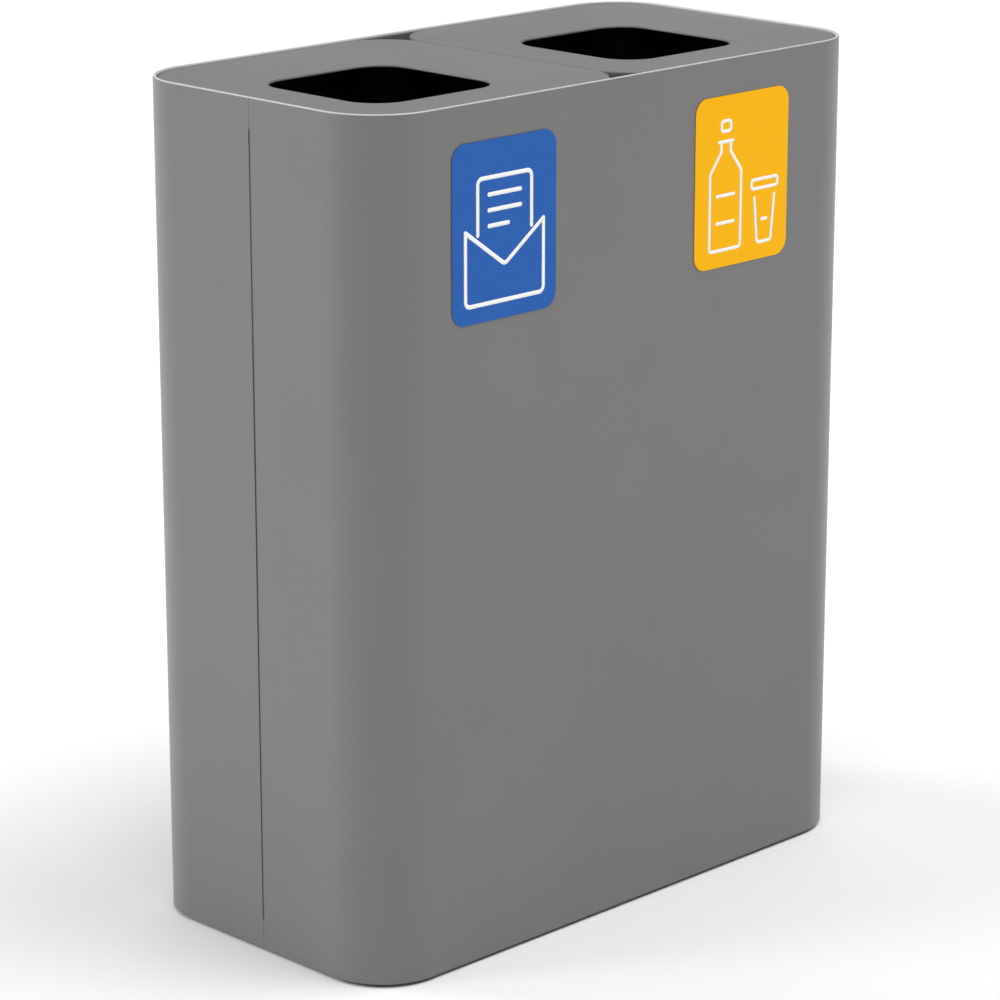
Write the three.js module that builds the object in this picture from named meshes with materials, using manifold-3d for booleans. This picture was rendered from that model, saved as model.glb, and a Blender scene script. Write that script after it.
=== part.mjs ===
// A free-standing double recycling bin in powder-coated sheet steel, with two lift-out liners and two
// dished lids. Millimetres, +Z up. The origin is on the floor, at the middle of the footprint. The front,
// with the labels, faces -Y.
import * as THREE from "three";
import { mergeVertices } from "three/addons/utils/BufferGeometryUtils.js";
import Module from "manifold-3d";

const wasm = await Module();
wasm.setup();

// ---- Driving dimensions ----------------------------------------------------------------------------------

const seat = 0.3; // gap between two pieces that rest on, or are welded to, each other
const cornerSteps = 8; // straight stretches in each rounded corner of a plan outline

// Shell: two U-shaped halves that meet at a seam in the middle of each side.
const shellWidth = 600;
const shellDepth = 305;
const shellHeight = 740;
const shellRadius = 59; // plan radius of the four upright corners
const shellSheet = 1.2;
const hemGap = 0.8; // air inside the folded top edge
const hemLeg = 11; // how far the folded edge reaches down inside
const hemSteps = 6; // straight stretches round the top of the fold
const shellLift = 3; // the shell's lower edge stands this far off the floor, on the feet

// Seam: closed at both ends, and open as a narrow shadow slot between them.
const seamY = -5;
const seamJoint = 0.3;
const seamSlot = 2.2;
const seamClosedEnd = 26; // length of the closed joint at the top and at the bottom
const strapWidth = 34;
const strapSheet = 1.2;
const strapEndGap = 3; // from the strap's ends to the folded edge above and the floor tray below

// Floor tray, with its edge turned up against the shell.
const trayRaise = 5; // underside of the tray above the shell's lower edge
const traySheet = 1.5;
const trayFlange = 22;
const trayBend = 4; // inside radius where the flange turns up
const dividerSheet = 1.2;
const dividerFlange = 20;
const dividerBend = 2.5; // outside radius of its folds
const dividerHeadroom = 20; // from its top edge to the lids' skirts

// Feet.
const footRadius = 18;
const footTaper = 2;
const footChamfer = 1;
const footInsetX = 55; // from the shell's side to the foot's centre
const footInsetY = 52.5;
const screwRadius = 2.2;
const screwHeadRadius = 5;
const screwHeadHeight = 2.2;
const screwHeadRecess = 1.2; // the head stays this far above the floor
const screwReach = 3; // the screw's end above the tray
const screwSocket = 1.5; // half the width of the hexagon socket across its corners
const screwSocketDepth = 1.2;

// Lids: pressed steel, dished down to a square opening, and resting loosely inside the folded edge.
const lidSheet = 1.2;
const lidSink = 2; // lid's edge below the top of the shell
const lidClearance = 0.6;
const lidSpacing = 1;
const lidSkirt = 14;
const lidInnerRadius = 45; // at the two corners beside the other lid
const lidEdgeRadius = 1.4;
const lidEdgeSteps = 3;
const dishDepth = 6;
const holeWidth = 150;
const holeRadius = 33;
const holeShift = 1.85; // the opening's middle lies this far from the lid's, towards the shell's side
const holeLip = 0.6; // straight stretch below the bend at the opening's edge
const padLength = 18;
const padWidth = 4;
const padHeight = 3;

// Liners: moulded buckets with a turned-down rim, hand holes and a raised floor.
const linerWall = 2.5;
const linerClearance = 3; // liner's rim to the inside of the lid's skirt
const linerRimReach = 5;
const linerLip = 2;
const linerLipDrop = 12;
const linerRimEdge = 0.8; // rounding of the rim's upper edges
const linerRadius = 46; // outside of the wall, under the rim
const linerDraft = 9; // how much each wall leans in over the liner's height
const linerEdge = 3; // rounding of the outer lower edge
const linerStand = 12; // width of the band that it stands on
const linerRaise = 6; // underside of the floor above that band
const linerFloor = 3;
const linerFillet = 8;
const handWidth = 100;
const handHeight = 30;
const handDrop = 80; // centre of the hand hole below the rim

// Labels on the front.
const labelWidth = 120;
const labelHeight = 150;
const labelRadius = 14;
const labelThickness = 0.5;
const labelTopDrop = 32; // top of a label below the top of the shell
const labelLeftInset = 144.5; // from the shell's side to the label's middle
const labelRightInset = 165;

// ---- Sizes that follow -----------------------------------------------------------------------------------

const shellTop = shellLift + shellHeight;
const hemThickness = 2 * shellSheet + hemGap;
const wallX = shellWidth / 2 - shellSheet; // inside faces of the shell
const wallY = shellDepth / 2 - shellSheet;
const trayBottom = shellLift + trayRaise;
const trayTop = trayBottom + traySheet;
const trayFlangeTop = trayBottom + trayFlange;
const hemBottom = shellTop - hemLeg;

const lidTop = shellTop - lidSink;
const lidBottom = lidTop - lidSkirt;
const lidOuterX = shellWidth / 2 - hemThickness - lidClearance;
const lidInnerX = lidSpacing / 2;
const lidX = (lidOuterX + lidInnerX) / 2; // middle of a lid, and of the liner under it
const lidHalfX = (lidOuterX - lidInnerX) / 2;
const lidHalfY = shellDepth / 2 - hemThickness - lidClearance;
const lidOuterRadius = shellRadius - hemThickness - lidClearance;
const holeX = lidX + holeShift;

const linerInset = lidSheet + linerClearance + linerRimReach; // lid's edge to the outside of the liner's wall
const linerHalfX = lidHalfX - linerInset;
const linerHalfY = lidHalfY - linerInset;
const padInset = linerInset - (linerRimReach - linerLip) / 2; // lid's edge to the middle of a pad
const linerBottom = trayTop + seat;

const navyBlue = 0x3663ad;
const signalYellow = 0xf7b70e;
const satinGrey = 0x858585;
const graphite = 0x6f7071;
const softBlack = 0x161718;
const rubberBlack = 0x1d1d1d;
const zincGrey = 0xa3a6a8;

// ---- Outlines and surfaces -------------------------------------------------------------------------------

// Points, counter-clockwise, of a rectangle with rounded corners. The radii go round from the +X +Y corner.
function roundedRectangle(halfX, halfY, radii, centreX = 0, centreY = 0) {
  const corners = [[1, 1], [-1, 1], [-1, -1], [1, -1]];
  const points = [];
  corners.forEach(([sideX, sideY], corner) => {
    const radius = radii[corner];
    for (let step = 0; step <= cornerSteps; step++) {
      const angle = ((corner + step / cornerSteps) * Math.PI) / 2;
      points.push([
        centreX + sideX * (halfX - radius) + radius * Math.cos(angle),
        centreY + sideY * (halfY - radius) + radius * Math.sin(angle),
      ]);
    }
  });
  return points;
}

// The same outline moved outwards (or, below zero, inwards) all round, at a height.
function ring({ halfX, halfY, radii, x = 0, y = 0 }, offset, z) {
  const grown = radii.map((radius) => Math.max(radius + offset, 0.5));
  return { z, points: roundedRectangle(halfX + offset, halfY + offset, grown, x, y) };
}

// Skins a list of rings that all have the same number of points. A loop joins its last ring to its first, and
// any other list is closed by a flat face at each end.
function skin(rings, { loop }) {
  const count = rings[0].points.length;
  const vertices = [];
  const faces = [];
  rings.forEach(({ points, z }) => points.forEach(([x, y]) => vertices.push(x, y, z)));
  const bands = loop ? rings.length : rings.length - 1;
  for (let band = 0; band < bands; band++) {
    const low = band * count;
    const high = ((band + 1) % rings.length) * count;
    for (let i = 0; i < count; i++) {
      const next = (i + 1) % count;
      faces.push(low + i, low + next, high + next, low + i, high + next, high + i);
    }
  }
  if (!loop) {
    [rings[0], rings[rings.length - 1]].forEach(({ points, z }, end) => {
      const centre = vertices.length / 3;
      const start = end * (rings.length - 1) * count;
      const middle = (axis) => points.reduce((sum, point) => sum + point[axis], 0) / count;
      vertices.push(middle(0), middle(1), z);
      for (let i = 0; i < count; i++) {
        const next = (i + 1) % count;
        if (end) faces.push(centre, start + i, start + next);
        else faces.push(centre, start + next, start + i);
      }
    });
  }
  const geometry = new THREE.BufferGeometry();
  geometry.setAttribute("position", new THREE.Float32BufferAttribute(vertices, 3));
  geometry.setIndex(faces);
  return geometry;
}

// ---- Solids that are cut or joined -----------------------------------------------------------------------

function toSolid(geometry) {
  const bare = new THREE.BufferGeometry();
  bare.setAttribute("position", geometry.getAttribute("position"));
  if (geometry.index) bare.setIndex(geometry.index);
  const merged = mergeVertices(bare, 1e-4);
  const mesh = new wasm.Mesh({
    numProp: 3,
    vertProperties: Float32Array.from(merged.attributes.position.array),
    triVerts: Uint32Array.from(merged.index.array),
  });
  return new wasm.Manifold(mesh);
}

function toGeometry(solid) {
  const { vertProperties, triVerts, numProp } = solid.getMesh();
  const positions = [];
  for (let i = 0; i < vertProperties.length; i += numProp) {
    positions.push(vertProperties[i], vertProperties[i + 1], vertProperties[i + 2]);
  }
  const geometry = new THREE.BufferGeometry();
  geometry.setAttribute("position", new THREE.Float32BufferAttribute(positions, 3));
  geometry.setIndex(Array.from(triVerts));
  return geometry;
}

function box(low, high) {
  const size = high.map((value, axis) => value - low[axis]);
  const middle = high.map((value, axis) => (value + low[axis]) / 2);
  return new THREE.BoxGeometry(...size).translate(...middle);
}

// A plate with rounded corners, drawn in the XZ plane and running from one Y to another.
function uprightPlate(width, height, radius, x, z, lowY, highY) {
  const outline = roundedRectangle(width / 2, height / 2, [radius, radius, radius, radius]);
  const shape = new THREE.Shape(outline.map(([u, v]) => new THREE.Vector2(u, v)));
  const plate = new THREE.ExtrudeGeometry(shape, { depth: highY - lowY, bevelEnabled: false });
  return plate.rotateX(Math.PI / 2).translate(x, highY, z);
}

// ---- Scene graph -----------------------------------------------------------------------------------------

const finishes = {
  powderCoat: { color: satinGrey, roughness: 0.45, metalness: 0 },
  innerCoat: { color: graphite, roughness: 0.5, metalness: 0 },
  zinc: { color: zincGrey, roughness: 0.4, metalness: 1 },
  liner: { color: softBlack, roughness: 0.55, metalness: 0 },
  rubber: { color: rubberBlack, roughness: 0.8, metalness: 0 },
  blueLabel: { color: navyBlue, roughness: 0.35, metalness: 0 },
  yellowLabel: { color: signalYellow, roughness: 0.35, metalness: 0 },
};

const bin = new THREE.Group();

function add(name, geometry, finish, parent = bin) {
  const mesh = new THREE.Mesh(geometry, new THREE.MeshStandardMaterial(finishes[finish]));
  mesh.name = name;
  parent.add(mesh);
  return mesh;
}

// ---- Shell -----------------------------------------------------------------------------------------------

// Goes up the outside of the wall, over the folded edge, down its inner leg and back up inside the fold.
function shellRing() {
  const plan = {
    halfX: shellWidth / 2,
    halfY: shellDepth / 2,
    radii: [shellRadius, shellRadius, shellRadius, shellRadius],
  };
  const foldRadius = hemThickness / 2;
  const rings = [ring(plan, 0, shellLift)];
  for (let step = 0; step <= hemSteps; step++) {
    const angle = (step / hemSteps) * Math.PI;
    const offset = -foldRadius * (1 - Math.cos(angle));
    rings.push(ring(plan, offset, shellTop - foldRadius * (1 - Math.sin(angle))));
  }
  rings.push(ring(plan, -hemThickness, hemBottom));
  rings.push(ring(plan, -hemThickness + shellSheet, hemBottom));
  rings.push(ring(plan, -hemThickness + shellSheet, shellTop - foldRadius));
  rings.push(ring(plan, -foldRadius, shellTop - shellSheet));
  rings.push(ring(plan, -shellSheet, shellTop - foldRadius));
  rings.push(ring(plan, -shellSheet, shellLift));
  return skin(rings, { loop: true });
}

function addShell() {
  const reach = shellWidth + shellDepth; // any length that passes right through the shell
  const whole = toSolid(shellRing());
  const slot = toSolid(
    box(
      [-reach, seamY - seamSlot / 2, shellLift + seamClosedEnd],
      [reach, seamY + seamSlot / 2, shellTop - seamClosedEnd],
    ),
  );
  const slotted = whole.subtract(slot);
  const frontSpace = toSolid(box([-reach, -reach, -reach], [reach, seamY - seamJoint / 2, 2 * reach]));
  const rearSpace = toSolid(box([-reach, seamY + seamJoint / 2, -reach], [reach, reach, 2 * reach]));
  add("front_shell", toGeometry(slotted.intersect(frontSpace)), "powderCoat");
  add("rear_shell", toGeometry(slotted.intersect(rearSpace)), "powderCoat");
}

// A strip behind each seam joins the two halves and backs the slot.
function addSeamStraps() {
  const low = trayFlangeTop + strapEndGap;
  const high = hemBottom - strapEndGap;
  const face = wallX - seat;
  for (const [name, side] of [["left", -1], ["right", 1]]) {
    const across = [side * face, side * (face - strapSheet)].sort((a, b) => a - b);
    const strap = box(
      [across[0], seamY - strapWidth / 2, low],
      [across[1], seamY + strapWidth / 2, high],
    );
    add(`seam_strap_${name}`, strap, "powderCoat");
  }
}

// ---- Floor tray, divider and feet ------------------------------------------------------------------------

const footPlaces = [
  ["front_left", -1, -1],
  ["front_right", 1, -1],
  ["rear_left", -1, 1],
  ["rear_right", 1, 1],
].map(([name, sideX, sideY]) => ({
  name,
  x: sideX * (shellWidth / 2 - footInsetX),
  y: sideY * (shellDepth / 2 - footInsetY),
}));

function addFloorTray() {
  const radius = shellRadius - shellSheet - seat;
  const plan = { halfX: wallX - seat, halfY: wallY - seat, radii: [radius, radius, radius, radius] };
  const outerBend = trayBend + traySheet;
  const rings = [];
  const bendSteps = 3;
  for (let step = 0; step <= bendSteps; step++) {
    const angle = (step / bendSteps) * (Math.PI / 2);
    const offset = -outerBend * (1 - Math.sin(angle));
    rings.push(ring(plan, offset, trayBottom + outerBend * (1 - Math.cos(angle))));
  }
  rings.push(ring(plan, 0, trayFlangeTop));
  rings.push(ring(plan, -traySheet, trayFlangeTop));
  for (let step = bendSteps; step >= 0; step--) {
    const angle = (step / bendSteps) * (Math.PI / 2);
    const offset = -traySheet - trayBend * (1 - Math.sin(angle));
    rings.push(ring(plan, offset, trayTop + trayBend * (1 - Math.cos(angle))));
  }
  let tray = toSolid(skin(rings, { loop: false }));
  for (const { x, y } of footPlaces) {
    const hole = new THREE.CylinderGeometry(screwRadius + seat, screwRadius + seat, 4 * traySheet, 16)
      .rotateX(Math.PI / 2)
      .translate(x, y, trayBottom + traySheet / 2);
    tray = tray.subtract(toSolid(hole));
  }
  add("floor_tray", toGeometry(tray), "zinc");
}

// A Z-folded sheet between the two liners: one flange against the front wall, the other against the rear.
function addDivider() {
  const low = trayTop + seat;
  const high = lidBottom - dividerHeadroom;
  const endY = wallY - seat;
  const half = dividerSheet / 2;
  const innerBend = dividerBend - dividerSheet;
  const outline = new THREE.Shape();
  outline.moveTo(half, -endY + dividerBend);
  outline.lineTo(half, endY - dividerSheet - innerBend);
  outline.absarc(half + innerBend, endY - dividerSheet - innerBend, innerBend, Math.PI, Math.PI / 2, true);
  outline.lineTo(dividerFlange - half, endY - dividerSheet);
  outline.lineTo(dividerFlange - half, endY);
  outline.lineTo(-half + dividerBend, endY);
  outline.absarc(-half + dividerBend, endY - dividerBend, dividerBend, Math.PI / 2, Math.PI, false);
  outline.lineTo(-half, -endY + dividerSheet + innerBend);
  outline.absarc(-half - innerBend, -endY + dividerSheet + innerBend, innerBend, 0, -Math.PI / 2, true);
  outline.lineTo(-dividerFlange + half, -endY + dividerSheet);
  outline.lineTo(-dividerFlange + half, -endY);
  outline.lineTo(half - dividerBend, -endY);
  outline.absarc(half - dividerBend, -endY + dividerBend, dividerBend, -Math.PI / 2, 0, false);
  const sheet = new THREE.ExtrudeGeometry(outline, {
    depth: high - low,
    bevelEnabled: false,
    curveSegments: 3,
  }).translate(0, 0, low);
  // Its lower corners are notched, to pass the tray's flange.
  const notchY = wallY - 2 * seat - traySheet - trayBend;
  const notchTop = trayFlangeTop + strapEndGap;
  let divider = toSolid(sheet);
  for (const side of [-1, 1]) {
    const [near, far] = [side * notchY, side * shellDepth].sort((a, b) => a - b);
    const notch = box([-dividerFlange, near, low - traySheet], [dividerFlange, far, notchTop]);
    divider = divider.subtract(toSolid(notch));
  }
  add("divider_panel", toGeometry(divider), "innerCoat");
}

function lathe(profile, segments) {
  const points = profile.map(([radius, z]) => new THREE.Vector2(radius, z));
  return new THREE.LatheGeometry(points, segments).rotateX(Math.PI / 2);
}

// Rubber feet, each held up against the tray by a screw whose head sits in the foot's recess.
function addFeet() {
  const footTop = trayBottom - seat;
  const headTop = screwHeadRecess + screwHeadHeight;
  const recessRadius = screwHeadRadius + 1;
  const bore = screwRadius + seat;
  const footProfile = [
    [recessRadius, 0],
    [footRadius - footTaper - footChamfer, 0],
    [footRadius - footTaper, footChamfer],
    [footRadius, footTop],
    [bore, footTop],
    [bore, headTop + seat],
    [recessRadius, headTop + seat],
    [recessRadius, 0],
  ];
  const crown = screwHeadHeight / 3; // the head's rim is rounded over this much of its height
  const screwProfile = [
    [0, screwHeadRecess],
    [screwHeadRadius - crown, screwHeadRecess],
    [screwHeadRadius, screwHeadRecess + crown],
    [screwHeadRadius, headTop],
    [screwRadius, headTop],
    [screwRadius, trayTop + screwReach - screwRadius / 2],
    [screwRadius / 2, trayTop + screwReach],
    [0, trayTop + screwReach],
  ];
  const socket = new THREE.CylinderGeometry(screwSocket, screwSocket, 2 * screwSocketDepth, 6)
    .rotateX(Math.PI / 2)
    .translate(0, 0, screwHeadRecess);
  const screw = toGeometry(toSolid(lathe(screwProfile, 16)).subtract(toSolid(socket)));
  for (const { name, x, y } of footPlaces) {
    const foot = new THREE.Group();
    foot.position.set(x, y, 0);
    bin.add(foot);
    add(`foot_${name}`, lathe(footProfile, 24), "rubber", foot);
    add(`foot_screw_${name}`, screw.clone(), "zinc", foot);
  }
}

// ---- Lids ------------------------------------------------------------------------------------------------

// Depth of the dish below the lid's edge, at a distance in from that edge on one of the four slopes, each of
// which is straight between the bend at the lid's edge and the bend at the opening.
function dishDrop(distance, slopeRun) {
  return (dishDepth * (distance - lidEdgeRadius)) / (slopeRun - 2 * lidEdgeRadius);
}

// A lid, drawn for the right-hand side and mirrored in its outline for the left.
function lidGeometry(side) {
  const outer = lidOuterRadius;
  const inner = lidInnerRadius;
  const plan = {
    halfX: lidHalfX,
    halfY: lidHalfY,
    radii: side > 0 ? [outer, inner, inner, outer] : [inner, outer, outer, inner],
    x: side * lidX,
  };
  const hole = {
    halfX: holeWidth / 2,
    halfY: holeWidth / 2,
    radii: [holeRadius, holeRadius, holeRadius, holeRadius],
    x: side * holeX,
  };
  const dishZ = lidTop - dishDepth;
  const bendOut = lidEdgeRadius;
  const bendIn = Math.max(lidEdgeRadius - lidSheet, 0.3);
  const rings = [ring(plan, 0, lidBottom)];
  // Over the outer edge, and across the dish to the opening.
  for (let step = 0; step <= lidEdgeSteps; step++) {
    const angle = (step / lidEdgeSteps) * (Math.PI / 2);
    rings.push(ring(plan, -bendOut * (1 - Math.cos(angle)), lidTop - bendOut * (1 - Math.sin(angle))));
  }
  for (let step = 0; step <= lidEdgeSteps; step++) {
    const angle = (step / lidEdgeSteps) * (Math.PI / 2);
    rings.push(ring(hole, bendOut * (1 - Math.sin(angle)), dishZ - bendOut * (1 - Math.cos(angle))));
  }
  rings.push(ring(hole, 0, dishZ - bendOut - holeLip));
  // Back along the underside.
  rings.push(ring(hole, lidSheet, dishZ - bendOut - holeLip));
  rings.push(ring(hole, lidSheet, dishZ - lidSheet - bendIn));
  rings.push(ring(hole, lidSheet + bendIn, dishZ - lidSheet));
  rings.push(ring(plan, -lidSheet - bendIn, lidTop - lidSheet));
  rings.push(ring(plan, -lidSheet, lidTop - lidSheet - bendIn));
  rings.push(ring(plan, -lidSheet, lidBottom));
  return skin(rings, { loop: true });
}

// The four pads under a lid: where each one is, and how far in its slope of the dish runs.
function padPlaces(side) {
  const runY = lidHalfY - holeWidth / 2;
  const runOuter = lidOuterX - (holeX + holeWidth / 2);
  const runInner = holeX - holeWidth / 2 - lidInnerX;
  return [
    { name: "front", x: side * lidX, y: -lidHalfY + padInset, alongX: true, run: runY },
    { name: "rear", x: side * lidX, y: lidHalfY - padInset, alongX: true, run: runY },
    { name: "outer", x: side * (lidOuterX - padInset), y: 0, alongX: false, run: runOuter },
    { name: "inner", x: side * (lidInnerX + padInset), y: 0, alongX: false, run: runInner },
  ];
}

// Height of a lid's underside over the inner edge of a pad.
function undersideAtPad(run) {
  return lidTop - lidSheet - dishDrop(padInset + padWidth / 2, run);
}

const lowestUnderside = Math.min(...padPlaces(1).map(({ run }) => undersideAtPad(run)));
const linerTop = lowestUnderside - 2 * seat - padHeight;

function addLid(side, sideName) {
  add(`lid_${sideName}`, lidGeometry(side), "powderCoat");
  for (const { name, x, y, alongX, run } of padPlaces(side)) {
    const halfX = (alongX ? padLength : padWidth) / 2;
    const halfY = (alongX ? padWidth : padLength) / 2;
    const pad = box(
      [x - halfX, y - halfY, linerTop + seat],
      [x + halfX, y + halfY, undersideAtPad(run) - seat],
    );
    add(`lid_pad_${sideName}_${name}`, pad, "rubber");
  }
}

// ---- Liners ----------------------------------------------------------------------------------------------

function addLiner(side, sideName) {
  const radii = [linerRadius, linerRadius, linerRadius, linerRadius];
  const plan = { halfX: linerHalfX, halfY: linerHalfY, radii, x: side * lidX };
  const underRim = linerTop - linerLip;
  const floorUnder = linerBottom + linerRaise;
  const floorTop = floorUnder + linerFloor;
  const leanAt = (z) => (-linerDraft * (underRim - z)) / (underRim - linerBottom);
  const halfway = 1 - Math.SQRT1_2; // of a rounding's radius, at the middle of its arc
  const rings = [
    // The recess under the floor, the band that it stands on and the outer wall.
    ring(plan, leanAt(linerBottom) - linerStand, floorUnder),
    ring(plan, leanAt(linerBottom) - linerStand, linerBottom),
    ring(plan, leanAt(linerBottom) - linerEdge, linerBottom),
    ring(plan, leanAt(linerBottom) - linerEdge * halfway, linerBottom + linerEdge * halfway),
    ring(plan, leanAt(linerBottom + linerEdge), linerBottom + linerEdge),
    ring(plan, 0, underRim),
    // Out under the rim, and round its turned-down lip.
    ring(plan, linerRimReach - linerLip, underRim),
    ring(plan, linerRimReach - linerLip, linerTop - linerLipDrop),
    ring(plan, linerRimReach, linerTop - linerLipDrop),
    ring(plan, linerRimReach, linerTop - linerRimEdge),
    ring(plan, linerRimReach - linerRimEdge, linerTop),
    // Down the inside to the floor.
    ring(plan, -linerWall + linerRimEdge, linerTop),
    ring(plan, -linerWall, linerTop - linerRimEdge),
    ring(plan, leanAt(floorTop + linerFillet) - linerWall, floorTop + linerFillet),
    ring(plan, leanAt(floorTop) - linerWall - linerFillet * halfway, floorTop + linerFillet * halfway),
    ring(plan, leanAt(floorTop) - linerWall - linerFillet, floorTop),
  ];
  const handHole = uprightPlate(
    handWidth,
    handHeight,
    handHeight / 2 - seat,
    side * lidX,
    linerTop - handDrop,
    -shellDepth,
    shellDepth,
  );
  const liner = toSolid(skin(rings, { loop: false })).subtract(toSolid(handHole));
  add(`liner_${sideName}`, toGeometry(liner), "liner");
}

// ---- Labels ----------------------------------------------------------------------------------------------

function addLabel(name, x, finish) {
  const face = -shellDepth / 2 - seat;
  const z = shellTop - labelTopDrop - labelHeight / 2;
  const plate = uprightPlate(labelWidth, labelHeight, labelRadius, x, z, face - labelThickness, face);
  add(name, plate, finish);
}

addShell();
addSeamStraps();
addFloorTray();
addDivider();
addFeet();
for (const [sideName, side] of [["left", -1], ["right", 1]]) {
  addLiner(side, sideName);
  addLid(side, sideName);
}
addLabel("label_paper", labelLeftInset - shellWidth / 2, "blueLabel");
addLabel("label_plastic", shellWidth / 2 - labelRightInset, "yellowLabel");

export default bin;
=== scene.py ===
# %% [markdown]
# # A double recycling bin in powder-coated steel
#
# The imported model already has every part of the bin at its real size: a shell of two bent sheets,
# a folded floor tray, two dished lids, two lift-out liners, feet, pads and labels. This lesson
# gives each of them the finer form and the finish that the eye expects, and leaves every size
# where the model has it.

import math

import bmesh
import bpy
import numpy as np
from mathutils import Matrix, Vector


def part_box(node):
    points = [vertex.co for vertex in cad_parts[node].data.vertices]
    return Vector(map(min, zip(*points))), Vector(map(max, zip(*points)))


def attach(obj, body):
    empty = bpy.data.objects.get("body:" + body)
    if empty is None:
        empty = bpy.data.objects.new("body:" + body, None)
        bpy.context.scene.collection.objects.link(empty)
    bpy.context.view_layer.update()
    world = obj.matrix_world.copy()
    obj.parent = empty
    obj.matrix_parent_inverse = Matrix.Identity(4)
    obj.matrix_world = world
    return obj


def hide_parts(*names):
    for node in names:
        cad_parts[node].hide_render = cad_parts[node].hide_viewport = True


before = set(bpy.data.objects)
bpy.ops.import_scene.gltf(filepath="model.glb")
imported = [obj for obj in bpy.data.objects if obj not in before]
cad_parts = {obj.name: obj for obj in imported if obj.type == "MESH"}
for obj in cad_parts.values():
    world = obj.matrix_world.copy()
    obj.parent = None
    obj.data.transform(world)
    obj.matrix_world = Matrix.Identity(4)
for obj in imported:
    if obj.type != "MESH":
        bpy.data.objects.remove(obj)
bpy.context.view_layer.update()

# %% [markdown]
# ## Units and two small tools
#
# The drawing sizes of sheet metal are millimetres and Blender's are metres, so every size below
# is written in millimetres and multiplied by MM. Colours are easiest to name as the hex values of
# a colour picker, but shaders add up light, so one function turns them to linear values. A second
# function adds a node to any tree, a material's or a Geometry Nodes one, because both are wired
# in the same way.

# %% Millimetres, colours and nodes
MM = 0.001
SATIN_GREY = (0x707070, 0x727272)  # the darkest and the lightest tone of the shell's coat


def linear(hex_colour):
    """Linear RGBA of an sRGB colour written as 0xRRGGBB."""
    channels = [((hex_colour >> shift) & 255) / 255 for shift in (16, 8, 0)]
    return [c / 12.92 if c <= 0.04045 else ((c + 0.055) / 1.055) ** 2.4 for c in channels] + [1.0]


def add_node(tree, kind, settings=None, inputs=None):
    """Adds a node. An input's value is a number, colour or vector, or the socket that feeds it."""
    node = tree.nodes.new(kind)
    for name, value in (settings or {}).items():
        setattr(node, name, value)
    for name, value in (inputs or {}).items():
        if isinstance(value, bpy.types.NodeSocket):
            tree.links.new(value, node.inputs[name])
        else:
            node.inputs[name].default_value = value
    return node


print("satin grey in linear light:", [round(c, 3) for c in linear(SATIN_GREY[0])[:3]])

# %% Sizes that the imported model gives
shell_low, shell_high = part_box("front_shell")
shell_half_x = shell_high.x
shell_half_y = -shell_low.y
shell_bottom, shell_top = shell_low.z, shell_high.z
print("shell (mm):", [round(v / MM, 1) for v in (2 * shell_half_x, 2 * shell_half_y, shell_top)])

# %% [markdown]
# ## Finishes: one recipe, and the powder coat
#
# No real surface has one colour and one gloss. So every finish is made to one recipe: patches of
# a real width move its tone between two close colours, other patches move its roughness a little,
# and a grain of real width and depth bends the light where the surface has one.
#
# The shell and the lids are steel sheet with a baked polyester powder coat in satin grey. The
# powder melts to a skin that is nearly even, with a faint orange peel: low bumps about two
# millimetres across. A photo from a few metres away barely shows them, so they only soften the
# gloss. Along the shell's rim a lighter tone is painted on as a highlight, a thin bright line that
# stands in for the light the rounded fold catches. The straps behind the seams have only a pale
# primer.

# %% The recipe
NOISE_LOW, NOISE_HIGH = 0.3, 0.7  # noise stays near 0.5, so this part is stretched out
MIX_FACTOR, MIX_A, MIX_B, MIX_RESULT = 0, 6, 7, 2  # numbers of a Mix node's sockets for colours


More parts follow.
